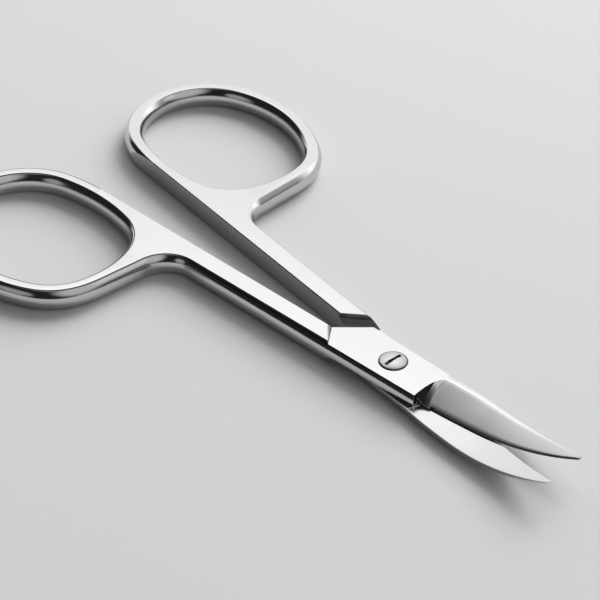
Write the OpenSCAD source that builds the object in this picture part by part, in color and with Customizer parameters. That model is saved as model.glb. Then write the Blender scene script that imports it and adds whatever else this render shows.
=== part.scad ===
// Cuticle scissors with curved blades: two forged halves on one pivot screw.
// X runs from the rings to the tips, Z is up, and the origin is where the pivot axis meets the table.

/* [Pose] */
// Angle between the halves as they lie, in degrees
rest_opening = 9.8; // [4:0.1:20]

/* [Forging] */
// Thickness of the rings and shanks
steel_t = 3.0; // [2.4:0.1:4]
// How far the rounded sides stand out beyond the flat faces
side_bulge = 0.72; // [0.5:0.02:0.8]
// Clearance between the flat faces of the two halves at the pivot
face_gap = 0.04; // [0.02:0.01:0.1]

/* [Ring] */
// Distance from the pivot back to the ring centre
ring_x = 49.6; // [44:0.2:58]
// Distance from the centre line out to the ring centre, halves closed
ring_y = 11.0; // [10.9:0.1:13]
// Radius of the two opening corners next to the shank
ring_front_r = 7.3; // [6.5:0.1:8]
// Distance of those corners ahead of the ring centre
ring_front_x = 5.0; // [4:0.1:6]
// Half the distance between those corners
ring_front_y = 1.8; // [1.2:0.1:2.4]
// Radius of the opening's round rear end
ring_back_r = 9.3; // [8.8:0.1:9.6]
// Distance of the rear end's centre behind the ring centre
ring_back_x = 3.2; // [2.6:0.1:4.4]
// Radius of the opening's slightly bowed front side
ring_front_bow = 13; // [11:0.5:20]
// Radius of the opening's bowed outer side
ring_outer_bow = 17; // [14:0.5:24]
// Radius of the opening's bowed inner side
ring_inner_bow = 26; // [20:0.5:40]
// Width of the flat band on top of the ring
ring_land = 1.15; // [0.9:0.05:1.6]

/* [Shank] */
// Distance from the centre line to the shank's outer top edge, halves closed
shank_y = 2.75; // [2.3:0.05:3.4]
// Half the gap between the shanks at the pivot end, halves closed
wall_root_y = 0.35; // [0.2:0.05:0.6]
// Half the gap between the rings where they come closest, halves closed
wall_ring_y = 0.06; // [0.05:0.01:0.2]
// Radius of the inside corner between ring and shank
crotch_r = 4.6; // [3.4:0.1:5]
// Lean of the ring's front edge above that corner, in degrees
crotch_lean = 8; // [4:1:12]

/* [Pivot block] */
// Distance from the pivot back to where the block's rear edge leaves the inner wall
block_rear_x = 9.4; // [8.8:0.1:10.5]
// Width of the block from the centre line to its blade side edge, at the rear
block_rear_y = 3.05; // [2.7:0.05:3.4]
// The same width at the front
block_front_y = 2.45; // [2.2:0.05:2.9]
// Distance from the pivot to the block's front corner on the ring side
block_front_x = 5.6; // [5:0.1:6.5]
// Slant of the block's rear edge and of the shoulder behind it, in degrees
shoulder_slant = 47; // [42:1:52]
// Distance along the wall from the block's rear edge back to the shoulder
shoulder_offset = 1.1; // [1:0.05:1.6]
// Radius of the hollow at the foot of the shoulder
shoulder_r = 1.2; // [0.8:0.1:1.3]
// Depth of the step from the shank down to the block on the upper half
step_h = 0.2; // [0.1:0.05:0.4]
// Slant of that step, in degrees
step_slant = 56; // [50:1:65]
// Length of that step's slope
step_run = 0.4; // [0.2:0.05:0.6]

/* [Blade] */
// Distance from the pivot to the blade tip
blade_tip_x = 26.7; // [24:0.1:30]
// Radius of the rounded tip in plan
tip_r = 0.32; // [0.25:0.01:0.45]
// How far the tip centre stands off the centre line, halves closed
tip_y = 0.26; // [0.1:0.02:0.4]
// Distance from the centre line to the spine at the blade root
spine_y = 3.15; // [2.8:0.05:3.4]
// Distance from the pivot to where the spine starts to curve in
spine_bend_x = 8; // [7:0.5:10]
// Distance from the centre line to the heel of the cutting edge
heel_y = 2.3; // [2:0.05:2.6]
// Distance from the pivot to the heel of the cutting edge
heel_x = 8; // [7.5:0.1:9]
// Radius of the cutting edge in plan
edge_bow = 130; // [90:5:250]
// Distance from the pivot to where the blade starts to rise
rise_x = 14; // [12:0.5:16]
// Radius of the upward curve of the blades
rise_r = 31; // [26:1:45]
// Angle of the ground face against the inner face, in degrees
grind_angle = 15; // [12:0.5:17]
// Height of the small bevel along the cutting edge
edge_h = 0.2; // [0.12:0.02:0.3]
// Width of that bevel
edge_w = 0.22; // [0.12:0.02:0.3]
// Width of the flat land along the spine at the blade root, which narrows to nothing at the tip
spine_land = 0.9; // [0.5:0.05:1.2]
// Width of the spine's rounded side as a share of the blade's thickness there
spine_round = 0.55; // [0.3:0.05:0.7]
// Slant of the blade's outline behind the heel, in degrees
heel_flare = 11; // [6:1:14]
// Clearance between the hollow ground inner faces of the blades
blade_gap = 0.16; // [0.1:0.02:0.3]
// Radius of the hollow where the ground face runs out into the block
runout_r = 2.5; // [2:0.1:2.8]
// Slant of that hollow back towards the spine, in degrees
runout_slant = 14; // [8:1:18]
// Distance from the pivot to the hollow's foot on the cutting edge side
runout_x = 7.7; // [7.5:0.1:8]

/* [Screw] */
// Diameter of the screw head
head_d = 3.44; // [3.2:0.02:4.2]
// Depth to which the head is let into the upper half
head_depth = 0.6; // [0.4:0.05:0.8]
// Height of the head's dome above the upper half
dome_h = 0.3; // [0.2:0.02:0.5]
// Height of the head's rim above the upper half
rim_h = 0.06; // [0.02:0.02:0.15]
// Diameter of the smooth neck on which the upper half turns
neck_d = 2.4; // [2:0.1:2.8]
// Diameter of the threaded end in the lower half
thread_d = 2.0; // [1.6:0.1:2.2]
// Radial running clearance round the neck and the head
pivot_gap = 0.03; // [0.02:0.01:0.06]
// Radial squeeze of the threaded end in the lower half
thread_squeeze = 0.01; // [0.005:0.005:0.02]
// Width of the driver slot
slot_w = 0.42; // [0.3:0.02:0.6]
// Length of the driver slot
slot_l = 2.5; // [2.2:0.1:2.9]
// Depth of the driver slot below the dome's top
slot_h = 0.35; // [0.2:0.05:0.5]

/* [Hidden] */
$fn = 96;
steel_colour = [0.80, 0.80, 0.79];
screw_colour = [0.66, 0.66, 0.65];
over = 20;
lap = 0.1;
mid_z = steel_t / 2;
block_top = steel_t - step_h;
bulge_r = (mid_z * mid_z + side_bulge * side_bulge) / (2 * side_bulge);

// Points, angles and the bowed side that joins two corner circles
function turn(from, to) = (to - from + 720) % 360;
function heading(from, to) = atan2(to[1] - from[1], to[0] - from[0]);
function polar(centre, r, angle) = [centre[0] + r * cos(angle), centre[1] + r * sin(angle)];
function meet(p, q, rp, rq) =
    let (d = norm([q[0] - p[0], q[1] - p[1]]), a = heading(p, q))
    let (along = (rp * rp - rq * rq + d * d) / (2 * d))
    polar(p, rp, a + acos(along / rp));
function bow_centre(i) =
    let (j = (i + 1) % 3)
    meet(corners[i], corners[j], bows[i] - corners[i][2], bows[i] - corners[j][2]);

corners = [
    [-ring_x + ring_front_x, ring_y - ring_front_y, ring_front_r],
    [-ring_x + ring_front_x, ring_y + ring_front_y, ring_front_r],
    [-ring_x - ring_back_x, ring_y, ring_back_r]
];
bows = [ring_front_bow, ring_outer_bow, ring_inner_bow];

// The inner wall runs straight from beside the ring to the pivot block
wall_end_x = ring_x + ring_back_x;
wall_slope = (wall_root_y - wall_ring_y) / (wall_end_x - block_rear_x);
function wall_y(x) = wall_ring_y + wall_slope * (x + wall_end_x);

// The corner between ring and shank touches the shank's edge and the ring's leaning front edge
lean_point = polar(bow_centre(0), ring_front_bow + ring_land, crotch_lean);
crotch_y = shank_y + crotch_r;
crotch_x = lean_point[0] + (crotch_r + (lean_point[1] - crotch_y) * sin(crotch_lean)) / cos(crotch_lean);
crotch = [crotch_x, crotch_y];

// Blade outline: spine and edge are arcs that both touch the tip's circle
blade_root_x = 4.5;
tip = [blade_tip_x - tip_r, tip_y];
spine_run = tip[0] - spine_bend_x;
spine_drop = spine_y - tip[1];
spine_r = (spine_run * spine_run + spine_drop * spine_drop - tip_r * tip_r) / (2 * (spine_drop - tip_r));
spine_centre = [spine_bend_x, spine_y - spine_r];
edge_centre = meet([heel_x, -heel_y], tip, edge_bow, edge_bow - tip_r);
spine_touch = heading(spine_centre, tip);
edge_touch = heading(edge_centre, tip);
spine_end_x = tip[0] + tip_r * cos(spine_touch);
edge_end_x = tip[0] + tip_r * cos(edge_touch);
block_side_slope = (block_rear_y - block_front_y) / (block_rear_x + block_front_x);
spine_set_in = 0.07;
spine_root_y = block_front_y + side_bulge - spine_set_in;
spine_flare = (spine_y - spine_root_y) / (spine_bend_x - blade_root_x);
function arc_y(centre, r, x) = centre[1] + sqrt(max(0, r * r - (x - centre[0]) * (x - centre[0])));
function spine_at(x) =
    x <= spine_bend_x ? spine_y - spine_flare * (spine_bend_x - x) :
    x <= spine_end_x ? arc_y(spine_centre, spine_r, x) : arc_y(tip, tip_r, x);
function edge_at(x) =
    x <= heel_x ? -heel_y - (heel_x - x) * tan(heel_flare) :
    x <= edge_end_x ? 2 * edge_centre[1] - arc_y(edge_centre, edge_bow, x) :
    2 * tip[1] - arc_y(tip, tip_r, x);

// Height of the blades' common curved inner face at a distance r from the pivot axis
function rise(r) = r <= rise_x ? 0 : rise_r - sqrt(rise_r * rise_r - (r - rise_x) * (r - rise_x));
function inner_z(x, y, side) = mid_z + rise(norm([x, y])) + side * blade_gap / 2;

// One cross section of a blade at x: edge bevel, ground face, land, rounded spine and inner face
land_drop = 0.02;
root_h = block_top - land_drop - mid_z - blade_gap / 2;
bevel_share = 0.25;
land_share = 0.3;
function section_profile(x, width) =
    let (bevel_w = min(edge_w, bevel_share * width), bevel_h = edge_h * bevel_w / edge_w)
    let (land_w = min(spine_land * (tip[0] - x) / (tip[0] - blade_root_x), land_share * width))
    let (free_h = bevel_h + (width - bevel_w - land_w) * tan(grind_angle))
    let (top_h = min(free_h / (1 + spine_round * tan(grind_angle)), root_h))
    let (round_w = spine_round * top_h, shelf = width - round_w)
    [
        [0, 0],
        [bevel_w, bevel_h],
        [(bevel_w + shelf - land_w) / 2, (bevel_h + top_h) / 2],
        [shelf - land_w, top_h],
        [shelf, top_h],
        [shelf + round_w * sin(30), top_h * cos(30)],
        [shelf + round_w * sin(60), top_h * cos(60)],
        [width, 0],
        [width * 0.75, 0],
        [width * 0.5, 0],
        [width * 0.25, 0]
    ];
function section(x, side) =
    let (edge = edge_at(x), width = spine_at(x) - edge)
    [for (p = section_profile(x, width)) [x, edge + p[0], inner_z(x, edge + p[0], side) + side * p[1]]];

blade_steps = 40;
tip_steps = 6;
tip_end_angle = 72;
blade_stations = concat(
    [for (i = [0 : blade_steps - 1]) blade_root_x + (tip[0] - blade_root_x) * i / blade_steps],
    [for (i = [0 : tip_steps - 1]) tip[0] + tip_r * sin(tip_end_angle * i / (tip_steps - 1))]
);

// Blade in its own frame: spine towards +Y, outer face up for side 1 and down for side -1
module blade(side) {
    n = len(section_profile(blade_root_x, 1));
    crown = 4;
    count = len(blade_stations);
    points = [for (x = blade_stations) each section(x, side)];
    skin = [for (i = [0 : count - 2]) for (k = [0 : n - 1])
        let (a = i * n + k, b = i * n + (k + 1) % n)
        each [[a, b, b + n], [a, b + n, a + n]]];
    root = [for (k = [1 : n - 2]) [crown, (crown + k + 1) % n, (crown + k) % n]];
    last = (count - 1) * n;
    end = [for (k = [1 : n - 2]) [last + crown, last + (crown + k) % n, last + (crown + k + 1) % n]];
    faces = concat(skin, root, end);
    turned = [for (f = faces) [for (k = [len(f) - 1 : -1 : 0]) f[k]]];
    polyhedron(points, side > 0 ? faces : turned, convexity = 4);
}

// Points on the rounded side's arc, bottom to top, as distance out from the flat edge and height
side_half_angle = asin(mid_z / bulge_r);
side_steps = 6;
side_arc = [for (i = [0 : side_steps])
    let (a = side_half_angle * (2 * i / side_steps - 1))
    [side_bulge - bulge_r + bulge_r * cos(a), mid_z + bulge_r * sin(a)]];

// Stations along an arc: place on the flat edge and heading of its outward normal, from -90 up
function arc_stations(centre, r, from, sweep, step) =
    let (count = ceil(abs(sweep) / step), first = from < -90 ? from + 360 : from)
    [for (i = [0 : count - 1]) let (a = first + sweep * i / count)
        [centre[0] + r * cos(a), centre[1] + r * sin(a), a]];
function corner_stations(i, step) =
    let (a = heading(bow_centre((i + 2) % 3), corners[i]), b = heading(bow_centre(i), corners[i]))
    arc_stations(corners[i], corners[i][2], a, turn(a, b), step);
function bow_stations(i, step) =
    let (c = bow_centre(i), a = heading(c, corners[i]), b = heading(c, corners[(i + 1) % 3]))
    arc_stations(c, bows[i], a, turn(a, b), step);
ring_step = 6;
bow_step = ring_step / 2;
ring_stations = [for (i = [0 : 2]) each concat(corner_stations(i, ring_step), bow_stations(i, bow_step))];

// The opening's edge: first the stretch behind the free part of the ring, then the stretch in the plate
free_from = crotch_lean + 1;
free_to = 269;
ring_free = [for (s = ring_stations) if (s[2] > free_from && s[2] < free_to) s];
ring_joined = concat(
    [for (s = ring_stations) if (s[2] >= free_to) s],
    [for (s = ring_stations) if (s[2] <= free_from) s]
);

// Rest of the flat face's outline: along the wall, round the block, through the crotch to the ring
front_reach = 2;
rear_reach = 4;
bar_front_x = runout_x + front_reach;
block_back_x = -block_rear_x - rear_reach;
below_wall = -1;
ring_inset = 1;
front_lean = 62;
front_chamfer = 0.35;
front_taper = 0.06;
function side_y(x) = block_front_y + block_side_slope * (block_front_x - x);
block_outline = [
    [-ring_x + ring_inset, below_wall, 0, 0],
    [block_back_x, below_wall, 0, 0],
    [block_back_x, -side_y(block_back_x), -90, 1],
    [bar_front_x, -side_y(bar_front_x), -90, 1],
    [bar_front_x, -edge_at(bar_front_x), 90, 0],
    [block_front_x + front_chamfer, shank_y - front_taper, 90, 0],
    [block_front_x, shank_y, front_lean, 1 / sin(front_lean)]
];
crotch_steps = len(corner_stations(0, ring_step));
crotch_outline = [for (i = [0 : crotch_steps])
    let (a = 270 - (90 - crotch_lean) * i / crotch_steps, v = polar(crotch, crotch_r, a))
    [v[0], v[1], a - 180, 1]];
ring_outline = [for (s = ring_free) let (v = polar(s, ring_land, s[2])) [v[0], v[1], s[2], 1]];
lean_outline = [[lean_point[0], lean_point[1], crotch_lean, 1]];
outline = concat(ring_outline, block_outline, crotch_outline, lean_outline);
opening = [for (s = concat(ring_free, ring_joined)) [s[0], s[1], s[2], -1]];

// Triangles of the flat face between outline and opening: band of the ring, block and shank, then web
n_out = len(outline);
n_in = len(opening);
n_free = len(ring_free);
bend = n_out + n_free + len([for (s = ring_joined) if (s[2] >= free_to) s]);
band_face = [for (k = [0 : n_free - 2]) each
    [[k, k + 1, n_out + k + 1], [k, n_out + k + 1, n_out + k]]];
block_face = let (p = n_free, front = p + 6, root = p + 7)
    [[p - 1, p, n_out + p - 1], [p, p + 1, root], [root, p + 1, front], [p + 1, p + 2, p + 3],
    [p + 1, p + 3, front], [p + 3, p + 4, p + 5], [p + 3, p + 5, front], [p, root, bend]];
web_face = let (p = n_free, root = p + 7, knee = root + crotch_steps)
    let (lean = knee + 1, last = n_out + n_in - 1)
    concat(
        [for (k = [n_out + p - 1 : bend - 1]) [p, k + 1, k]],
        [for (j = [0 : crotch_steps - 1]) each
            [[root + j, root + j + 1, bend + j + 1], [root + j, bend + j + 1, bend + j]]],
        [for (k = [bend + crotch_steps : last - 1]) [knee, k + 1, k]],
        [[knee, lean, last], [lean, 0, n_out], [lean, n_out, last]]
    );
flat_face = concat(band_face, block_face, web_face);

// Ring, shank and block in one: one outline per height, wider at half height, round a waisted opening
module rounded_body() {
    n = n_out + n_in;
    top = side_steps * n;
    points = [for (p = side_arc) for (s = concat(outline, opening)) let (v = polar(s, p[0] * s[3], s[2]))
        [v[0], v[1], p[1]]];
    outside = [for (i = [0 : side_steps - 1]) for (k = [0 : n_out - 1])
        let (a = i * n + k, b = i * n + (k + 1) % n_out)
        each [[a, b + n, b], [a, a + n, b + n]]];
    inside = [for (i = [0 : side_steps - 1]) for (k = [0 : n_in - 1])
        let (a = i * n + n_out + k, b = i * n + n_out + (k + 1) % n_in)
        each [[a, b, b + n], [a, b + n, a + n]]];
    roof = [for (f = flat_face) [f[0] + top, f[2] + top, f[1] + top]];
    polyhedron(points, concat(outside, inside, flat_face, roof), convexity = 8);
}

// Puts its children at the wall at x, in line with a slanted edge of the block
module from_line(x, slant) {
    translate([x, wall_y(x), 0]) rotate([0, 0, slant - 90]) children();
}

// Room for the other half's block, with a hollow foot
module shoulder_cut() {
    top = mid_z + face_gap / 2;
    from_line(-block_rear_x - shoulder_offset, shoulder_slant)
    rotate([90, 0, 0])
    translate([0, 0, -over])
    linear_extrude(2 * over) {
        translate([shoulder_r, top - shoulder_r]) circle(shoulder_r);
        translate([shoulder_r, -1]) square([2 * over, top + 1]);
        translate([0, -1]) square([2 * shoulder_r, top - shoulder_r + 1]);
    }
}

// Sloped step from the shank's top down to the block
module step_cut(depth) {
    from_line(-block_rear_x - step_run, step_slant)
    rotate([90, 0, 0])
    translate([0, 0, -over])
    linear_extrude(2 * over)
    polygon([[0, steel_t], [step_run, steel_t - depth], [2 * over, steel_t - depth],
        [2 * over, steel_t + 1], [0, steel_t + 1]]);
}

// Inner wall and the slanted rear edge of the block
module wall_cut() {
    corner = [-block_rear_x, wall_y(-block_rear_x)];
    translate([0, 0, -1]) linear_extrude(steel_t + 2) polygon([
        [-3 * over - ring_x, wall_y(-3 * over - ring_x)],
        corner,
        polar(corner, over, shoulder_slant - 90),
        [-3 * over - ring_x, -over]
    ]);
}

// Places the ground face's plane and turns it round the line of the cutting edge
module ground() {
    line = heading([heel_x, heel_y], [tip[0], -tip[1]]);
    base = mid_z + blade_gap / 2 + edge_h - edge_w * tan(grind_angle);
    translate([heel_x, heel_y, base])
    rotate([0, 0, line]) rotate([-grind_angle, 0, 0]) rotate([0, 0, -line])
    translate([-heel_x, -heel_y, 0]) children();
}

// Hollow at the front of the block, where the ground face runs out
module runout_cut() {
    ground()
    translate([runout_x, heel_y, 0])
    rotate([0, 0, -runout_slant])
    translate([0, -over, runout_r])
    rotate([-90, 0, 0])
    cylinder(h = 2 * over, r = runout_r);
    ground()
    translate([runout_x, heel_y, 0])
    rotate([0, 0, -runout_slant])
    translate([-lap, -over, -over]) cube([2 * over, 2 * over, 2 * over]);
}

// Ring, shank and pivot block of one half: ring towards +Y, outer face up
module handle(step_depth) {
    difference() {
        rounded_body();
        wall_cut();
        shoulder_cut();
        if (step_depth > 0) step_cut(step_depth);
        runout_cut();
    }
}

module upper_half() {
    color(steel_colour)
    rotate([0, 0, rest_opening / 2])
    difference() {
        union() {
            mirror([0, 1, 0]) handle(step_h);
            blade(1);
        }
        translate([0, 0, block_top - head_depth]) cylinder(h = over, r = head_d / 2 + pivot_gap);
        translate([0, 0, -1]) cylinder(h = over, r = neck_d / 2 + pivot_gap);
    }
}

module lower_half() {
    color(steel_colour)
    rotate([0, 0, -rest_opening / 2])
    difference() {
        union() {
            translate([0, 0, steel_t]) mirror([0, 0, 1]) handle(0);
            mirror([0, 1, 0]) blade(-1);
        }
        translate([0, 0, -1]) cylinder(h = over, r = thread_d / 2 - thread_squeeze);
    }
}

module pivot_screw() {
    rim_z = block_top + rim_h;
    head_r = head_d / 2;
    rise_h = dome_h - rim_h;
    dome_r = (head_r * head_r + rise_h * rise_h) / (2 * rise_h);
    neck_h = block_top - head_depth - mid_z;
    color(screw_colour)
    difference() {
        union() {
            cylinder(h = mid_z, r = thread_d / 2);
            translate([0, 0, mid_z - face_gap / 2]) cylinder(h = neck_h + lap, r = neck_d / 2);
            intersection() {
                translate([0, 0, block_top - head_depth + face_gap / 2])
                    cylinder(h = head_depth + dome_h, r = head_r);
                translate([0, 0, rim_z + rise_h - dome_r]) sphere(dome_r);
            }
        }
        translate([-slot_w / 2, -slot_l / 2, block_top + dome_h - slot_h]) cube([slot_w, slot_l, 1]);
    }
}

lower_half();
upper_half();
pivot_screw();
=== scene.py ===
import math

import bpy
import bmesh
from mathutils import Matrix, Vector, noise


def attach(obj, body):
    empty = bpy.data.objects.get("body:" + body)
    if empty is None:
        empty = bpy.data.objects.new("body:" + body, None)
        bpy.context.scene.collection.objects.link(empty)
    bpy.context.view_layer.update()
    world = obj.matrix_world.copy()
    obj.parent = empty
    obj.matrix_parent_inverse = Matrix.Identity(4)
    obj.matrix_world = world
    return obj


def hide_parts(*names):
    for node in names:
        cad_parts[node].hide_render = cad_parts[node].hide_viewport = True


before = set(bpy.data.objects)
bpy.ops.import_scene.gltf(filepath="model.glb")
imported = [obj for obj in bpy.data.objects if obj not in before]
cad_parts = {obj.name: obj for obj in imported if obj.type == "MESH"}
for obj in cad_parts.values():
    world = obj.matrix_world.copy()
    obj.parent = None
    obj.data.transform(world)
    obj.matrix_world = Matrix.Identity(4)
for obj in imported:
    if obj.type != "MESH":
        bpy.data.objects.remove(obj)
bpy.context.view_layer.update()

# Cuticle scissors with curved blades: two forged halves on one pivot screw.
# The object's lengths are in millimetres until finish_piece puts each mesh in metres.
MM = 0.001

# Both halves
REST_OPENING = 9.8
STEEL_T = 3.0
SIDE_BULGE = 0.72
FACE_GAP = 0.04
SOFT_R = 0.42

# Ring: the finger opening's three corner circles and the bowed sides between them
RING_X = 49.6
RING_Y = 11.0
CORNERS = [
    (-RING_X + 5.0, RING_Y - 1.8, 7.3),
    (-RING_X + 5.0, RING_Y + 1.8, 7.3),
    (-RING_X - 3.2, RING_Y, 9.3),
]
BOWS = [13.0, 17.0, 26.0]
RING_LAND = 1.15

# Shank, with the inner wall that faces the other half
SHANK_Y = 2.75
WALL_ROOT_Y = 0.35
WALL_RING_Y = 0.06
WALL_EDGE = 0.10
CROTCH_R = 4.6
CROTCH_LEAN = 8.0

# Pivot block
BLOCK_REAR_X = 9.4
BLOCK_REAR_Y = 3.05
BLOCK_FRONT_Y = 2.45
BLOCK_FRONT_X = 5.6
FRONT_CHAMFER = 0.35
FRONT_TAPER = 0.06
FRONT_LEAN = 62.0
SHOULDER_SLANT = 47.0
SHOULDER_OFFSET = 1.1
SHOULDER_R = 1.2

# Step across the upper half's block, with shares of the run and the drop along its sloping edge,
# and of the drop at the bands of painted shade: the two dark edges and the thin line between them
STEP_H = 0.2
STEP_SLANT = 56.0
STEP_RUN = 0.4
STEP_SHIFT = 0.15
STEP_TAPER = 3.7
STEP_SLOPE = [(0, 0), (0.27, 0.25), (0.45, 0.55), (0.56, 0.72), (0.74, 0.90), (1, 1)]
STEP_PAINTED_SHADE_BANDS = [(0.8, 0.999), (0.3, 0.42), (0.001, 0.12)]

# Blade
BLADE_ROOT_X = 4.5
TIP_R = 0.32
TIP = (26.7 - TIP_R, 0.26)
TIP_SWEEP = 76
SPINE_Y = 3.15
SPINE_BEND_X = 8.0
SPINE_SET_IN = 0.07
HEEL = (8.0, 2.3)
EDGE_BOW = 130.0
RISE_X = 14.0
RISE_R = 31.0
GRIND_ANGLE = 15.0
GRIND_CROWN = 0.012
LAP = 0.1
EDGE_H = 0.2
EDGE_W = 0.22
EDGE_SHARE = 0.25
SPINE_LAND = 0.9
LAND_SHARE = 0.3
SPINE_ROUND = 0.55
ROOT_H = 1.215
BLADE_GAP = 0.16
HEEL_FLARE = 11.0
RUNOUT_R = 2.5
RUNOUT_SLANT = -14.0
RUNOUT_X = 7.7

# Screw
HEAD_R = 1.72
HEAD_DEPTH = 0.6
DOME_H = 0.30
RIM_R = 0.20
DOME_RISE = 0.18
NECK_R = 1.2
THREAD_R = 1.0
SCREW_CHAMFER = 0.06
PIVOT_GAP = 0.03

# Driver slot: the wear is the height of its walls' waves, and each wall has its side, its waves per
# mm and its row of the noise
SLOT_W = 0.42
SLOT_L = 2.5
SLOT_H = 0.35
SLOT_WEAR = 0.07
SLOT_WALLS = [(1, 2.9, 0.4), (-1, 3.1, 7.4)]

MID_Z = STEEL_T / 2
BLOCK_TOP = STEEL_T - STEP_H
BULGE_R = (MID_Z ** 2 + SIDE_BULGE ** 2) / (2 * SIDE_BULGE)

# How far a cutter reaches above or below the steel, and across it
CLEAR = 1.0
FAR = 20.0


# Angles, points on circles, and the third corner of a triangle
def turn(start, end):
    return (end - start) % 360


def heading(p, q):
    return math.degrees(math.atan2(q[1] - p[1], q[0] - p[0]))


def polar(centre, r, angle):
    a = math.radians(angle)
    return centre[0] + r * math.cos(a), centre[1] + r * math.sin(a)


def meet(p, q, rp, rq):
    d = math.hypot(q[0] - p[0], q[1] - p[1])
    along = (rp * rp - rq * rq + d * d) / (2 * d)
    return polar(p, rp, heading(p, q) + math.degrees(math.acos(along / rp)))


def bow_centre(i):
    """Centre of the bowed side that joins two corner circles."""
    a, b = CORNERS[i], CORNERS[(i + 1) % 3]
    return meet(a, b, BOWS[i] - a[2], BOWS[i] - b[2])


WALL_END_X = RING_X + 3.2
WALL_SLOPE = (WALL_ROOT_Y - WALL_RING_Y) / (WALL_END_X - BLOCK_REAR_X)
SIDE_SLOPE = (BLOCK_REAR_Y - BLOCK_FRONT_Y) / (BLOCK_REAR_X + BLOCK_FRONT_X)


def wall_y(x):
    return WALL_RING_Y + WALL_SLOPE * (x + WALL_END_X)


def side_y(x):
    return BLOCK_FRONT_Y + SIDE_SLOPE * (BLOCK_FRONT_X - x)


LEAN_POINT = polar(bow_centre(0), BOWS[0] + RING_LAND, CROTCH_LEAN)
CROTCH_Y = SHANK_Y + CROTCH_R
CROTCH = (
    LEAN_POINT[0]
    + (CROTCH_R + (LEAN_POINT[1] - CROTCH_Y) * math.sin(math.radians(CROTCH_LEAN)))
    / math.cos(math.radians(CROTCH_LEAN)),
    CROTCH_Y,
)


# Blade outline: spine and edge are arcs that both touch the tip's circle
SPINE_RUN = TIP[0] - SPINE_BEND_X
SPINE_DROP = SPINE_Y - TIP[1]
SPINE_R = (SPINE_RUN ** 2 + SPINE_DROP ** 2 - TIP_R ** 2) / (2 * (SPINE_DROP - TIP_R))
SPINE_CENTRE = (SPINE_BEND_X, SPINE_Y - SPINE_R)
EDGE_CENTRE = meet((HEEL[0], -HEEL[1]), TIP, EDGE_BOW, EDGE_BOW - TIP_R)
SPINE_END_X = TIP[0] + TIP_R * math.cos(math.radians(heading(SPINE_CENTRE, TIP)))
EDGE_END_X = TIP[0] + TIP_R * math.cos(math.radians(heading(EDGE_CENTRE, TIP)))
SPINE_ROOT_Y = BLOCK_FRONT_Y + SIDE_BULGE - SPINE_SET_IN
SPINE_FLARE = (SPINE_Y - SPINE_ROOT_Y) / (SPINE_BEND_X - BLADE_ROOT_X)


def arc_y(centre, r, x):
    return centre[1] + math.sqrt(max(0.0, r * r - (x - centre[0]) ** 2))


def spine_at(x):
    if x <= SPINE_BEND_X:
        return SPINE_Y - SPINE_FLARE * (SPINE_BEND_X - x)
    return arc_y(SPINE_CENTRE, SPINE_R, x) if x <= SPINE_END_X else arc_y(TIP, TIP_R, x)


def edge_at(x):
    if x <= HEEL[0]:
        return -HEEL[1] - (HEEL[0] - x) * math.tan(math.radians(HEEL_FLARE))
    if x <= EDGE_END_X:
        return 2 * EDGE_CENTRE[1] - arc_y(EDGE_CENTRE, EDGE_BOW, x)
    return 2 * TIP[1] - arc_y(TIP, TIP_R, x)


def inner_z(x, y, side):
    """Height of a blade's inner face, which curves up with the distance from the pivot."""
    r = math.hypot(x, y)
    rise = 0.0 if r <= RISE_X else RISE_R - math.sqrt(RISE_R ** 2 - (r - RISE_X) ** 2)
    return MID_Z + rise + side * BLADE_GAP / 2


# Meshes
def new_mesh(name, points, faces):
    mesh = bpy.data.meshes.new(name)
    mesh.from_pydata([tuple(p) for p in points], [], faces)
    bm = bmesh.new()
    bm.from_mesh(mesh)
    bmesh.ops.recalc_face_normals(bm, faces=bm.faces)
    bm.to_mesh(mesh)
    bm.free()
    obj = bpy.data.objects.new(name, mesh)
    bpy.context.scene.collection.objects.link(obj)
    return obj


def prism(name, outline, z0, z1):
    n = len(outline)
    points = [(x, y, z0) for x, y in outline] + [(x, y, z1) for x, y in outline]
    sides = [(k, (k + 1) % n, n + (k + 1) % n, n + k) for k in range(n)]
    return new_mesh(name, points, sides + [tuple(range(n - 1, -1, -1)), tuple(range(n, 2 * n))])


def cylinder(name, r, z0, z1, steps=96):
    return prism(name, [polar((0, 0), r, 360 * k / steps) for k in range(steps)], z0, z1)


def combine(target, other, operation):
    """Cuts or joins another mesh into the target, and removes the other."""
    change = target.modifiers.new("change", "BOOLEAN")
    change.solver = "EXACT"
    change.operation = operation
    change.object = other
    bpy.context.view_layer.update()
    evaluated = target.evaluated_get(bpy.context.evaluated_depsgraph_get())
    made = bpy.data.meshes.new_from_object(evaluated)
    target.modifiers.clear()
    target.data = made
    bpy.data.objects.remove(other)


def transform(obj, matrix):
    obj.data.transform(matrix)
    if matrix.determinant() < 0:
        obj.data.flip_normals()
    return obj


MIRROR_Y = Matrix.Diagonal((1, -1, 1, 1))
MIRROR_Z = Matrix.Translation((0, 0, STEEL_T)) @ Matrix.Diagonal((1, 1, -1, 1))


def turned(angle):
    return Matrix.Rotation(math.radians(angle), 4, "Z")


def side_profile(arc_steps=12, soft_steps=7):
    """The rounded side: a long arc, with a small radius where it meets the flat faces."""
    c = SIDE_BULGE - BULGE_R
    soft_x = c + math.sqrt((BULGE_R - SOFT_R) ** 2 - (MID_Z - SOFT_R) ** 2)
    touch = math.degrees(math.asin((MID_Z - SOFT_R) / (BULGE_R - SOFT_R)))
    soft_centre = (soft_x, STEEL_T - SOFT_R)
    soft_angles = [90 + (touch - 90) * k / soft_steps for k in range(soft_steps)]
    arc_angles = [touch - 2 * touch * k / arc_steps for k in range(arc_steps + 1)]
    upper = [polar(soft_centre, SOFT_R, a) for a in soft_angles]
    arc = [polar((c, MID_Z), BULGE_R, a) for a in arc_angles]
    lower = [(d, STEEL_T - z) for d, z in reversed(upper)]
    return list(reversed(upper + arc + lower))


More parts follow.
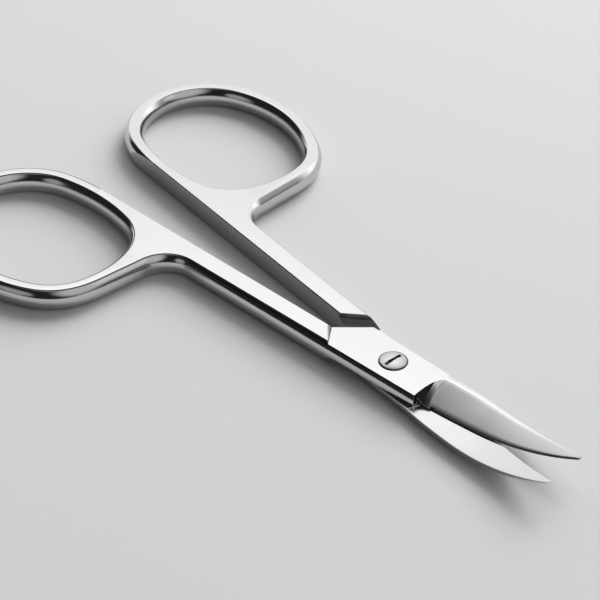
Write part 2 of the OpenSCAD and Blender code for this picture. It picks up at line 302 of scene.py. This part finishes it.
def arc_stations(centre, r, start, sweep, step):
    """Points along an arc of the finger opening, each with the direction away from it."""
    count = math.ceil(abs(sweep) / step)
    first = start + 360 if start < -90 else start
    angles = [first + sweep * k / count for k in range(count)]
    return [(*polar(centre, r, a), a) for a in angles]


def corner_stations(i, step):
    a = heading(bow_centre((i + 2) % 3), CORNERS[i])
    b = heading(bow_centre(i), CORNERS[i])
    return arc_stations(CORNERS[i], CORNERS[i][2], a, turn(a, b), step)


def bow_stations(i, step):
    c = bow_centre(i)
    a = heading(c, CORNERS[i])
    b = heading(c, CORNERS[(i + 1) % 3])
    return arc_stations(c, BOWS[i], a, turn(a, b), step)


def forging(name, step=2.0):
    """Ring, shank and block of one half, with its ring towards +Y and rounded sides.

    Each point of the outline and the opening is (x, y, direction, share). At every height of the
    side's profile it moves in that direction, by that share of the profile's depth."""
    stations = []
    for i in range(3):
        stations += corner_stations(i, step) + bow_stations(i, step / 2)
    free_from, free_to = CROTCH_LEAN + 1, 269
    free = [s for s in stations if free_from < s[2] < free_to]
    under = [s for s in stations if s[2] >= free_to]
    joined = under + [s for s in stations if s[2] <= free_from]
    front, back = RUNOUT_X + 2, -BLOCK_REAR_X - 4
    block = [
        (-RING_X + 1, -1, 0, 0),
        (back, -1, 0, 0),
        (back, -side_y(back), -90, 1),
        (front, -side_y(front), -90, 1),
        (front, -edge_at(front), 90, 0),
        (BLOCK_FRONT_X + FRONT_CHAMFER, SHANK_Y - FRONT_TAPER, 90, 0),
        (BLOCK_FRONT_X, SHANK_Y, FRONT_LEAN, 1 / math.sin(math.radians(FRONT_LEAN))),
    ]
    knees = len(corner_stations(0, step))
    crotch = []
    for k in range(knees + 1):
        a = 270 - (90 - CROTCH_LEAN) * k / knees
        crotch.append((*polar(CROTCH, CROTCH_R, a), a - 180, 1))
    ring = [(*polar(s, RING_LAND, s[2]), s[2], 1) for s in free]
    outline = ring + block + crotch + [(*LEAN_POINT, CROTCH_LEAN, 1)]
    opening = [(*s, -1) for s in free + joined]
    n_out, n_in, n_free = len(outline), len(opening), len(free)
    n = n_out + n_in
    profile = side_profile()
    points = [(*polar(s, d * s[3], s[2]), z) for d, z in profile for s in outline + opening]
    faces = []
    for i in range(len(profile) - 1):
        for first, count in ((0, n_out), (n_out, n_in)):
            for k in range(count):
                a, b = i * n + first + k, i * n + first + (k + 1) % count
                faces.append((a, b, b + n, a + n))
    # The flat face: the block starts at p, the crotch at root, and the opening beside it at bend
    p, root = n_free, n_free + len(block)
    bend = n_out + n_free + len(under)
    knee, last = root + knees, n - 1
    flat = [(k, k + 1, n_out + k + 1, n_out + k) for k in range(n_free - 1)]
    flat += [(p - 1, p, n_out + p - 1), (p, p + 1, root), (root, p + 1, p + 6)]
    flat += [(p + 1, p + 2, p + 3), (p + 1, p + 3, p + 6), (p + 3, p + 4, p + 5)]
    flat += [(p + 3, p + 5, p + 6), (p, root, bend)]
    flat += [(p, k + 1, k) for k in range(n_out + p - 1, bend)]
    flat += [(root + k, root + k + 1, bend + k + 1, bend + k) for k in range(knees)]
    flat += [(knee, k + 1, k) for k in range(bend + knees, last)]
    flat += [(knee, knee + 1, last), (knee + 1, 0, n_out), (knee + 1, n_out, last)]
    top = (len(profile) - 1) * n
    faces += flat + [tuple(k + top for k in reversed(f)) for f in flat]
    return new_mesh(name, points, faces)


# Cutters for one half, before it is mirrored and turned
def from_line(x, slant):
    return Matrix.Translation((x, wall_y(x), 0)) @ turned(slant - 90)


def across(name, outline, matrix):
    """An outline in the plane of the cut's run and height, drawn out across it."""
    upright = Matrix.Rotation(math.radians(90), 4, "X")
    return transform(prism(name, outline, -FAR, FAR), matrix @ upright)


def wall_cutter():
    far_x = -3 * FAR - RING_X
    corner = (-BLOCK_REAR_X, wall_y(-BLOCK_REAR_X))
    shoulder_end = polar(corner, FAR, SHOULDER_SLANT - 90)
    outline = [(far_x, wall_y(far_x)), (far_x, -FAR), shoulder_end, corner]
    return prism("wall_cutter", outline, -CLEAR, STEEL_T + CLEAR)


def edge_cutter(name, z, up):
    """Breaks the wall's sharp edge at height z, from behind the ring to the block."""
    past = 0.2
    section = [(-past, -past - WALL_EDGE), (past + WALL_EDGE, past), (-past, past)]
    points = []
    for x in (-1.5 * RING_X, -BLOCK_REAR_X - past):
        points += [(x, wall_y(x) + d, z + up * h) for d, h in section]
    return new_mesh(name, points, [(0, 1, 2), (3, 4, 5), (0, 1, 4, 3), (1, 2, 5, 4), (2, 0, 3, 5)])


def shoulder_cutter(steps=12):
    top = MID_Z + FACE_GAP / 2
    angles = [180 - 90 * k / steps for k in range(steps + 1)]
    fillet = [polar((SHOULDER_R, top - SHOULDER_R), SHOULDER_R, a) for a in angles]
    outline = fillet + [(2 * FAR, top), (2 * FAR, -CLEAR), (0, -CLEAR)]
    place = from_line(-BLOCK_REAR_X - SHOULDER_OFFSET, SHOULDER_SLANT)
    return across("shoulder_cutter", outline, place)


def step_cutter(depth):
    low, high = STEEL_T - depth, STEEL_T + CLEAR
    outline = [(STEP_RUN, low), (2 * FAR, low), (2 * FAR, high), (STEP_RUN, high)]
    return across("step_cutter", outline, from_line(-BLOCK_REAR_X - STEP_RUN, STEP_SLANT))


def ramp_cutter(depth):
    """The slope of the step: widest at the wall, and narrowing to a point at the outer edge.

    The last two points of its profile close it above the steel."""
    profile = STEP_SLOPE + [(1, -5), (-0.5, -5)]
    width = STEP_RUN + STEP_SHIFT
    lap, before_wall, point_cut = 0.01, 1.5, 0.05
    points = []
    for v in (-before_wall, STEP_TAPER - point_cut):
        w = width * (1 - v / STEP_TAPER)
        points += [(STEP_RUN + lap - w * (1 - t), v, STEEL_T - depth * h) for t, h in profile]
    n = len(profile)
    faces = [(k, (k + 1) % n, n + (k + 1) % n, n + k) for k in range(n)]
    faces += [tuple(range(n)), tuple(range(n, 2 * n))]
    ramp = new_mesh("ramp_cutter", points, faces)
    return transform(ramp, from_line(-BLOCK_REAR_X - STEP_RUN, STEP_SLANT))


def runout_cutter(steps=24):
    """Cuts the block's front down to the blade's ground face, with a hollow where it ends."""
    line = heading(HEEL, (TIP[0], -TIP[1]))
    base = MID_Z + BLADE_GAP / 2 + EDGE_H - EDGE_W * math.tan(math.radians(GRIND_ANGLE))
    tilt = turned(line) @ Matrix.Rotation(math.radians(-GRIND_ANGLE), 4, "X") @ turned(-line)
    from_heel = Matrix.Translation((-HEEL[0], -HEEL[1], 0))
    ground_plane = Matrix.Translation((HEEL[0], HEEL[1], base)) @ tilt @ from_heel
    place = ground_plane @ Matrix.Translation((RUNOUT_X, HEEL[1], 0)) @ turned(RUNOUT_SLANT)
    sweep = 90 - math.degrees(math.asin(LAP / RUNOUT_R))
    curve = [polar((0, RUNOUT_R), RUNOUT_R, 180 + sweep * k / steps) for k in range(steps + 1)]
    outline = curve + [(-LAP, -FAR), (2 * FAR, -FAR), (2 * FAR, FAR), (-RUNOUT_R, FAR)]
    return across("runout_cutter", outline, place)


def handle(name, step_depth):
    body = forging(name)
    combine(body, wall_cutter(), "DIFFERENCE")
    combine(body, edge_cutter("top_edge_cutter", STEEL_T, 1), "DIFFERENCE")
    combine(body, edge_cutter("bottom_edge_cutter", 0, -1), "DIFFERENCE")
    combine(body, shoulder_cutter(), "DIFFERENCE")
    if step_depth > 0:
        combine(body, step_cutter(step_depth), "DIFFERENCE")
        combine(body, ramp_cutter(step_depth), "DIFFERENCE")
    combine(body, runout_cutter(), "DIFFERENCE")
    return body


def blade_section(x, length):
    """The blade's outline at x, as distances from the edge and heights above the inner face."""
    ground_steps, round_steps = 8, 8
    tan_grind = math.tan(math.radians(GRIND_ANGLE))
    width = spine_at(x) - edge_at(x)
    bevel_w = min(EDGE_W, EDGE_SHARE * width)
    bevel_h = EDGE_H * bevel_w / EDGE_W
    land_w = min(SPINE_LAND * (TIP[0] - x) / length, LAND_SHARE * width)
    free_h = bevel_h + (width - bevel_w - land_w) * tan_grind
    top_h = min(free_h / (1 + SPINE_ROUND * tan_grind), ROOT_H)
    round_w = SPINE_ROUND * top_h
    ground_w = width - bevel_w - land_w - round_w
    section = [(0, 0), (bevel_w * 0.8, bevel_h * 0.85), (bevel_w, bevel_h)]
    for k in range(1, ground_steps):
        t = k / ground_steps
        crown = 4 * GRIND_CROWN * ground_w * t * (1 - t)
        section.append((bevel_w + t * ground_w, bevel_h + t * (top_h - bevel_h) + crown))
    section += [(width - round_w - land_w * t, top_h) for t in (1, 0.5)]
    for k in range(round_steps + 1):
        a = math.radians(90 * k / round_steps)
        section.append((width - round_w + round_w * math.sin(a), top_h * math.cos(a)))
    return section + [(width * t, 0) for t in (0.84, 0.7, 0.56, 0.42, 0.28, 0.14)]


def blade(name, side):
    """Blade with its spine towards +Y: curved inner face, ground outer face and bevelled edge."""
    steps, tip_steps = 110, 10
    length = TIP[0] - BLADE_ROOT_X
    stations = [BLADE_ROOT_X + length * k / steps for k in range(steps)]
    tip_angles = [math.radians(TIP_SWEEP * k / (tip_steps - 1)) for k in range(tip_steps)]
    stations += [TIP[0] + TIP_R * math.sin(a) for a in tip_angles]
    points = []
    for x in stations:
        section = blade_section(x, length)
        for reach, h in section:
            y = edge_at(x) + reach
            points.append((x, y, inner_z(x, y, side) + side * h))
    n = len(section)
    faces = []
    for i in range(len(stations) - 1):
        for k in range(n):
            a, b = i * n + k, i * n + (k + 1) % n
            faces.append((a, b, b + n, a + n))
    faces += [tuple(range(n)), tuple(range((len(stations) - 1) * n, len(stations) * n))]
    return new_mesh(name, points, faces)


# Finish: the size of the broad patches, and how lines and patches spread the roughness
PATCH_SIZE = 6.0
PATCH_FROM, PATCH_TO = 0.3, 0.7
LINE_SHARE = 0.5
SPREAD_FROM, SPREAD_TO = 0.45, 1.05
SMOOTHEST, ROUGHEST = 0.8, 1.25


def steel(name, colour, roughness, brush, depth,
          soft=0.0, mottle=0.05, slope_axis="Z", painted_shades=None, painted_fade=None):
    """Steel with fine lines: brush is their spacing along x, y and z, and depth their height, in mm.

    Broad patches darken it by the share mottle, and soft rounds the edges in the shading, in mm.
    The list of shades is painted shade, a dark reflection as where a hollow mirrors the dark room:
    it gives the colour's level by the normal's share along one axis of the piece. fade is painted
    shade too, (start, end, level): along x, in mm, the colour rises from that level at the start to
    the full colour at the end."""
    mat = bpy.data.materials.new(name)
    mat.use_nodes = True
    nodes, links = mat.node_tree.nodes, mat.node_tree.links
    shader = nodes["Principled BSDF"]
    shader.inputs["Metallic"].default_value = 1.0
    coords = nodes.new("ShaderNodeTexCoord")
    lines_map = nodes.new("ShaderNodeMapping")
    lines_map.inputs["Scale"].default_value = [1 / (b * MM) for b in brush]
    links.new(coords.outputs["Object"], lines_map.inputs["Vector"])
    lines = nodes.new("ShaderNodeTexNoise")
    lines.inputs["Scale"].default_value = 1.0
    lines.inputs["Detail"].default_value = 4.0
    lines.inputs["Roughness"].default_value = 0.65
    links.new(lines_map.outputs["Vector"], lines.inputs["Vector"])
    patches = nodes.new("ShaderNodeTexNoise")
    patches.inputs["Scale"].default_value = 1 / (PATCH_SIZE * MM)
    patches.inputs["Detail"].default_value = 3.0
    links.new(coords.outputs["Object"], patches.inputs["Vector"])
    tone = nodes.new("ShaderNodeValToRGB")
    tone.color_ramp.elements[0].position = PATCH_FROM
    tone.color_ramp.elements[0].color = (*[c * (1 - mottle) for c in colour], 1)
    tone.color_ramp.elements[1].position = PATCH_TO
    tone.color_ramp.elements[1].color = (*colour, 1)
    links.new(patches.outputs["Fac"], tone.inputs["Fac"])
    colour_out = tone.outputs["Color"]
    # Painted shade: the colour darkens by the normal's slope along one axis
    if painted_shades:
        normal = nodes.new("ShaderNodeSeparateXYZ")
        links.new(coords.outputs["Normal"], normal.inputs["Vector"])
        along_axis = nodes.new("ShaderNodeMath")
        along_axis.operation = "ABSOLUTE"
        links.new(normal.outputs[slope_axis], along_axis.inputs[0])
        shade = nodes.new("ShaderNodeValToRGB")
        stops = shade.color_ramp.elements
        while len(stops) < len(painted_shades):
            stops.new(0.5)
        for stop, (place, value) in zip(stops, painted_shades):
            stop.position = place
            stop.color = (value, value, value, 1)
        links.new(along_axis.outputs["Value"], shade.inputs["Fac"])
        darken = nodes.new("ShaderNodeVectorMath")
        darken.operation = "MULTIPLY"
        links.new(colour_out, darken.inputs[0])
        links.new(shade.outputs["Color"], darken.inputs[1])
        colour_out = darken.outputs["Vector"]
    # Painted shade: the colour darkens along x towards the start
    if painted_fade:
        place = nodes.new("ShaderNodeSeparateXYZ")
        links.new(coords.outputs["Object"], place.inputs["Vector"])
        level = nodes.new("ShaderNodeMapRange")
        level.inputs["From Min"].default_value = painted_fade[0] * MM
        level.inputs["From Max"].default_value = painted_fade[1] * MM
        level.inputs["To Min"].default_value = painted_fade[2]
        links.new(place.outputs["X"], level.inputs["Value"])
        scaled = nodes.new("ShaderNodeVectorMath")
        scaled.operation = "SCALE"
        links.new(colour_out, scaled.inputs[0])
        links.new(level.outputs["Result"], scaled.inputs["Scale"])
        colour_out = scaled.outputs["Vector"]
    links.new(colour_out, shader.inputs["Base Color"])
    mix = nodes.new("ShaderNodeMath")
    mix.operation = "MULTIPLY_ADD"
    mix.inputs[1].default_value = LINE_SHARE
    links.new(lines.outputs["Fac"], mix.inputs[0])
    links.new(patches.outputs["Fac"], mix.inputs[2])
    rough = nodes.new("ShaderNodeMapRange")
    rough.inputs["From Min"].default_value = SPREAD_FROM
    rough.inputs["From Max"].default_value = SPREAD_TO
    rough.inputs["To Min"].default_value = roughness * SMOOTHEST
    rough.inputs["To Max"].default_value = roughness * ROUGHEST
    links.new(mix.outputs["Value"], rough.inputs["Value"])
    links.new(rough.outputs["Result"], shader.inputs["Roughness"])
    bump = nodes.new("ShaderNodeBump")
    bump.inputs["Strength"].default_value = 1.0
    bump.inputs["Distance"].default_value = depth * MM
    links.new(lines.outputs["Fac"], bump.inputs["Height"])
    links.new(bump.outputs["Normal"], shader.inputs["Normal"])
    if soft > 0:
        edge = nodes.new("ShaderNodeBevel")
        edge.samples = 6
        edge.inputs["Radius"].default_value = soft * MM
        links.new(edge.outputs["Normal"], bump.inputs["Normal"])
    return mat


# Painted shade by slope, as a painted dark reflection: the hollow darkens towards the block,
# and the screw's dome towards its rim
HOLLOW_PAINTED_SHADE = [(0.06, 0.75), (0.12, 0.32), (0.22, 0.12), (0.40, 0.04), (1.0, 0.03)]
HEAD_PAINTED_SHADE = [(0.0, 0.04), (0.70, 0.08), (0.93, 0.35), (0.975, 0.72), (0.997, 1.0)]

polished = steel("polished_steel", (0.63, 0.63, 0.62), 0.10, (1.6, 0.09, 0.5), 0.0012, soft=0.11)
# The ground face darkens along x towards the block: painted shade that carries on the hollow's
ground = steel("ground_steel", (0.62, 0.62, 0.61), 0.30, (0.07, 1.8, 0.5), 0.0016,
               soft=0.05, painted_fade=(7.5, 12.5, 0.70))
# The hollow's colour is painted shade: it darkens by slope as a painted dark reflection
hollow = steel("hollow_steel", (0.52, 0.52, 0.51), 0.32, (0.07, 1.8, 0.5), 0.0016,
               soft=0.05, slope_axis="X", painted_shades=HOLLOW_PAINTED_SHADE)
# The wall's colour is darker than the other steel, partly as painted shade for the shadow between
# the shanks; its roughness and lines are the milled finish
milled_and_shaded = steel("milled_and_shaded_steel", (0.46, 0.455, 0.45), 0.30, (2.4, 0.5, 0.08), 0.0012, soft=0.11)
inner_face = steel("inner_face_steel", (0.61, 0.61, 0.60), 0.19, (0.08, 2.0, 0.5), 0.0016,
                   soft=0.04, mottle=0.12)
# Dark grey painted shade on the shoulder's cut face, in the recess where the upper half's block
# nests
cut_face_painted_shade = steel("cut_face_painted_shade_steel", (0.24, 0.24, 0.24), 0.38, (2.0, 2.0, 0.07), 0.0016, soft=0.03)
# Near-black painted shade on the step's two edges and the thin line between them
painted_step_shade = steel("painted_step_shade_steel", (0.05, 0.05, 0.05), 0.45, (0.3, 0.3, 0.3), 0.0010)
# The screw's dome darkens towards its rim by painted shade, a painted dark reflection
screw_steel = steel("screw_steel", (0.60, 0.60, 0.59), 0.24, (0.25, 0.25, 0.5), 0.0030,
                    soft=0.04, mottle=0.12, painted_shades=HEAD_PAINTED_SHADE)
FINISHES = [polished, ground, milled_and_shaded, inner_face, cut_face_painted_shade, painted_step_shade, hollow]

# What tells a half's faces apart: places in mm, and limits of the normal's share along an axis
WALL_NEAR = 0.02
WALL_FACING = 0.9
SHOULDER_FROM, SHOULDER_TO = -14, -5
SHOULDER_OFF_LINE = 0.03
LEVEL = 0.97
STEP_TO = -6
STEP_FACING = (0.1, 0.995)
GRIND_FROM = BLOCK_FRONT_X + 0.8
FACE_ON = 0.5
OFF_SPINE = -0.1
HOLLOW_FROM, HOLLOW_TO = 3, 9
HOLLOW_LEAN = 0.06
HOLLOW_UP = 0.05


def across_shoulder(n, side):
    slant = math.radians(SHOULDER_SLANT)
    return abs(n.x * math.cos(slant) - side * n.y * math.sin(slant)) < SHOULDER_OFF_LINE


def in_painted_shade_band(height):
    return any(low < height < high for low, high in STEP_PAINTED_SHADE_BANDS)


def finish_of(face, side):
    """The finish of one face of a half, before the half is turned."""
    c, n = face.center, face.normal
    off_wall = abs(-side * c.y - wall_y(c.x))
    at_shoulder = SHOULDER_FROM < c.x < SHOULDER_TO and (side > 0 or c.z > MID_Z)
    # Milled wall, whose darker colour is partly painted shade
    if c.x < -BLOCK_REAR_X and off_wall < WALL_NEAR and abs(n.y) > WALL_FACING:
        return milled_and_shaded
    # Painted shade on the shoulder's cut face
    if at_shoulder and across_shoulder(n, side) and abs(n.z) < LEVEL:
        return cut_face_painted_shade
    # Painted shade: near-black bands on the step's slope
    if side > 0 and c.x < STEP_TO and STEP_FACING[0] < n.z < STEP_FACING[1]:
        if in_painted_shade_band((c.z - BLOCK_TOP) / STEP_H):
            return painted_step_shade
    if c.x > GRIND_FROM and n.z * side < -FACE_ON:
        return inner_face
    # Painted shade: the hollow, darkened by slope as a painted dark reflection
    if HOLLOW_FROM < c.x < HOLLOW_TO and n.x > HOLLOW_LEAN and n.z * side > HOLLOW_UP:
        return hollow
    if c.x > GRIND_FROM and n.z * side > FACE_ON and n.y * side < OFF_SPINE:
        return ground
    return polished


def finish_piece(obj, body, node, sharp=28.0):
    for face in obj.data.polygons:
        face.use_smooth = True
    obj.data.set_sharp_from_angle(angle=math.radians(sharp))
    obj.data.transform(Matrix.Scale(MM, 4))
    weighted = obj.modifiers.new("normals", "WEIGHTED_NORMAL")
    weighted.keep_sharp = True
    weighted.weight = 100
    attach(obj, body)
    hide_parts(node)
    return obj


def make_half(name, body, node, side):
    """The upper half has side 1, its ring towards -Y and its spine towards +Y; the lower has -1."""
    upper = side > 0
    half = transform(handle(name, STEP_H if upper else 0), MIRROR_Y if upper else MIRROR_Z)
    with_spine = blade(name + "_blade", side)
    if not upper:
        transform(with_spine, MIRROR_Y)
    combine(half, with_spine, "UNION")
    if upper:
        head_hole = cylinder("head_cutter", HEAD_R + PIVOT_GAP, BLOCK_TOP - HEAD_DEPTH, FAR)
        combine(half, head_hole, "DIFFERENCE")
        combine(half, cylinder("neck_cutter", NECK_R + PIVOT_GAP, -CLEAR, FAR), "DIFFERENCE")
    else:
        combine(half, cylinder("thread_cutter", THREAD_R, -CLEAR, FAR), "DIFFERENCE")
    half.data.materials.clear()
    for mat in FINISHES:
        half.data.materials.append(mat)
    for face in half.data.polygons:
        face.material_index = FINISHES.index(finish_of(face, side))
    transform(half, turned(side * REST_OPENING / 2))
    return finish_piece(half, body, node)


def cap_radius(reach, rise):
    """Radius of a dome that rises by this much within this reach of its axis."""
    return (reach ** 2 + rise ** 2) / (2 * rise)


def slot_outline(steps=14):
    outline = []
    for side, waves, row in SLOT_WALLS:
        for k in range(steps + 1):
            y = side * (-SLOT_L / 2 + SLOT_L * k / steps)
            outline.append((side * SLOT_W / 2 + SLOT_WEAR * noise.noise((y * waves, row, 0)), y))
    return outline


def make_screw(steps=96):
    """Domed head with a worn driver slot, smooth neck and threaded end, as one turned piece."""
    rim_steps, dome_steps = 8, 10
    top = BLOCK_TOP + DOME_H
    seat = BLOCK_TOP - HEAD_DEPTH + FACE_GAP / 2
    neck_end = MID_Z - FACE_GAP / 2
    rim_x = HEAD_R - RIM_R
    slope = math.degrees(math.asin(rim_x / cap_radius(rim_x, DOME_RISE)))
    rim_z = top - DOME_RISE - RIM_R * math.cos(math.radians(slope))
    profile = [(THREAD_R - SCREW_CHAMFER, 0), (THREAD_R, SCREW_CHAMFER), (THREAD_R, neck_end)]
    profile += [(NECK_R, neck_end), (NECK_R, seat)]
    profile += [(HEAD_R - SCREW_CHAMFER, seat), (HEAD_R, seat + SCREW_CHAMFER), (HEAD_R, rim_z)]
    for k in range(1, rim_steps + 1):
        profile.append(polar((rim_x, rim_z), RIM_R, (90 - slope) * k / rim_steps))
    reach = profile[-1][0]
    dome_r = cap_radius(reach, top - profile[-1][1])
    for k in range(1, dome_steps):
        r = reach * (1 - k / dome_steps)
        profile.append((r, top - dome_r + math.sqrt(dome_r ** 2 - r ** 2)))
    points, faces = [], []
    for r, z in profile:
        points += [(*polar((0, 0), r, 360 * k / steps), z) for k in range(steps)]
    points += [(0, 0, 0), (0, 0, top)]
    for i in range(len(profile) - 1):
        for k in range(steps):
            a, b = i * steps + k, i * steps + (k + 1) % steps
            faces.append((a, b, b + steps, a + steps))
    last = (len(profile) - 1) * steps
    for k in range(steps):
        faces.append((k, len(points) - 2, (k + 1) % steps))
        faces.append((last + k, last + (k + 1) % steps, len(points) - 1))
    screw = new_mesh("pivot_screw_turned", points, faces)
    combine(screw, prism("slot_cutter", slot_outline(), top - SLOT_H, top + CLEAR), "DIFFERENCE")
    screw.data.materials.clear()
    screw.data.materials.append(screw_steel)
    return finish_piece(screw, "lower", "pivot_screw")


make_half("upper_half_forged", "upper", "upper_half", 1)
make_half("lower_half_forged", "lower", "lower_half", -1)
make_screw()

# The CAD meshes take the finish of the pieces that stand in for them
for node in ("lower_half", "upper_half", "pivot_screw"):
    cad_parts[node].data.materials.clear()
    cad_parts[node].data.materials.append(screw_steel if node == "pivot_screw" else polished)


# Floor, light and camera, in metres
FLOOR_HALF = 1.5


def floor_material():
    mat = bpy.data.materials.new("pale_floor")
    mat.use_nodes = True
    shader = mat.node_tree.nodes["Principled BSDF"]
    shader.inputs["Base Color"].default_value = (0.64, 0.64, 0.64, 1)
    shader.inputs["Roughness"].default_value = 0.75
    shader.inputs["Specular IOR Level"].default_value = 0.25
    return mat


corners = ((-1, -1), (1, -1), (1, 1), (-1, 1))
floor = new_mesh("floor", [(x * FLOOR_HALF, y * FLOOR_HALF, 0) for x, y in corners], [(0, 1, 2, 3)])
floor.data.materials.append(floor_material())


def softbox(name, place, aim, width, height, watts):
    lamp = bpy.data.lights.new(name, "AREA")
    lamp.shape = "RECTANGLE"
    lamp.size = width
    lamp.size_y = height
    lamp.energy = watts
    obj = bpy.data.objects.new(name, lamp)
    obj.location = place
    obj.rotation_mode = "QUATERNION"
    obj.rotation_quaternion = (Vector(aim) - Vector(place)).to_track_quat("-Z", "Y")
    bpy.context.scene.collection.objects.link(obj)
    return obj


# The steel mirrors the room alone, and not the lamp that casts the shadow
key_light = softbox("key_light", (-0.19, 0.56, 0.40), (-0.02, 0, 0), 0.45, 0.45, 5.0)
key_light.visible_glossy = False


def studio_world():
    """A room that is bright behind the object and overhead, and dark in front but for one card."""
    world = bpy.data.worlds.new("studio")
    bpy.context.scene.world = world
    world.use_nodes = True
    nodes, links = world.node_tree.nodes, world.node_tree.links
    coords = nodes.new("ShaderNodeTexCoord")

    def towards(direction, start, end, low, high):
        """A smooth rise from low to high as the view nears a fixed direction of the room.

        start and end are cosines of the angle to that direction."""
        dot = nodes.new("ShaderNodeVectorMath")
        dot.operation = "DOT_PRODUCT"
        dot.inputs[1].default_value = Vector(direction).normalized()
        links.new(coords.outputs["Generated"], dot.inputs[0])
        spread = nodes.new("ShaderNodeMapRange")
        spread.interpolation_type = "SMOOTHSTEP"
        spread.inputs["From Min"].default_value = start
        spread.inputs["From Max"].default_value = end
        spread.inputs["To Min"].default_value = low
        spread.inputs["To Max"].default_value = high
        links.new(dot.outputs["Value"], spread.inputs["Value"])
        return spread.outputs["Result"]

    def arithmetic(operation, a, b):
        node = nodes.new("ShaderNodeMath")
        node.operation = operation
        links.new(a, node.inputs[0])
        links.new(b, node.inputs[1])
        return node.outputs["Value"]

    window = towards((-0.48, 0.877, 0.0), 0.20, 0.62, 0.02, 1.27)
    ceiling = towards((0.10, 0.00, 0.99), 0.80, 1.00, 0.0, 0.25)
    side_wall = towards((0.80, 0.0, 0.60), 0.76, 0.97, 0.0, 0.60)
    card = towards((0.02, -0.955, 0.295), 0.94, 0.995, 0.0, 0.38)
    panel = towards((-0.45, 0.35, 0.82), 0.93, 0.985, 0.0, 0.40)
    far_wall = towards((0.50, 0.70, 0.45), 0.80, 0.97, 0.0, 0.40)
    above = arithmetic("ADD", ceiling, panel)
    walls = arithmetic("ADD", side_wall, far_wall)
    light = arithmetic("ADD", arithmetic("ADD", window, above), arithmetic("ADD", walls, card))
    links.new(light, nodes["Background"].inputs["Strength"])
    nodes["Background"].inputs["Color"].default_value = (1, 1, 1, 1)


studio_world()

# The photograph's camera: angles in degrees, distance and target in mm, focal length in pixels
CAMERA_AZ = 46.94
CAMERA_EL = 38.92
CAMERA_ROLL = 0.856
CAMERA_DIST = 244.06
CAMERA_TARGET = Vector((-18.13, 1.906, 0))
CAMERA_FOCAL_PX = 1977.7
IMAGE_PX = 600
SENSOR = 36.0


def photo_camera():
    az, el, roll = (math.radians(a) for a in (CAMERA_AZ, CAMERA_EL, CAMERA_ROLL))
    back = Vector((math.sin(az) * math.cos(el), -math.cos(az) * math.cos(el), math.sin(el)))
    right = Vector((math.cos(az), math.sin(az), 0))
    up = back.cross(right)
    tilted_right = math.cos(roll) * right + math.sin(roll) * up
    tilted_up = -math.sin(roll) * right + math.cos(roll) * up
    data = bpy.data.cameras.new("photo_camera")
    data.sensor_width = SENSOR
    data.lens = CAMERA_FOCAL_PX * SENSOR / IMAGE_PX
    data.clip_start = 0.01
    camera = bpy.data.objects.new("photo_camera", data)
    turn_to = Matrix((tilted_right, tilted_up, back)).transposed()
    place = Matrix.Translation((CAMERA_TARGET + back * CAMERA_DIST) * MM)
    camera.matrix_world = place @ turn_to.to_4x4()
    bpy.context.scene.collection.objects.link(camera)
    bpy.context.scene.camera = camera


photo_camera()
bpy.context.scene.view_settings.view_transform = "Standard"
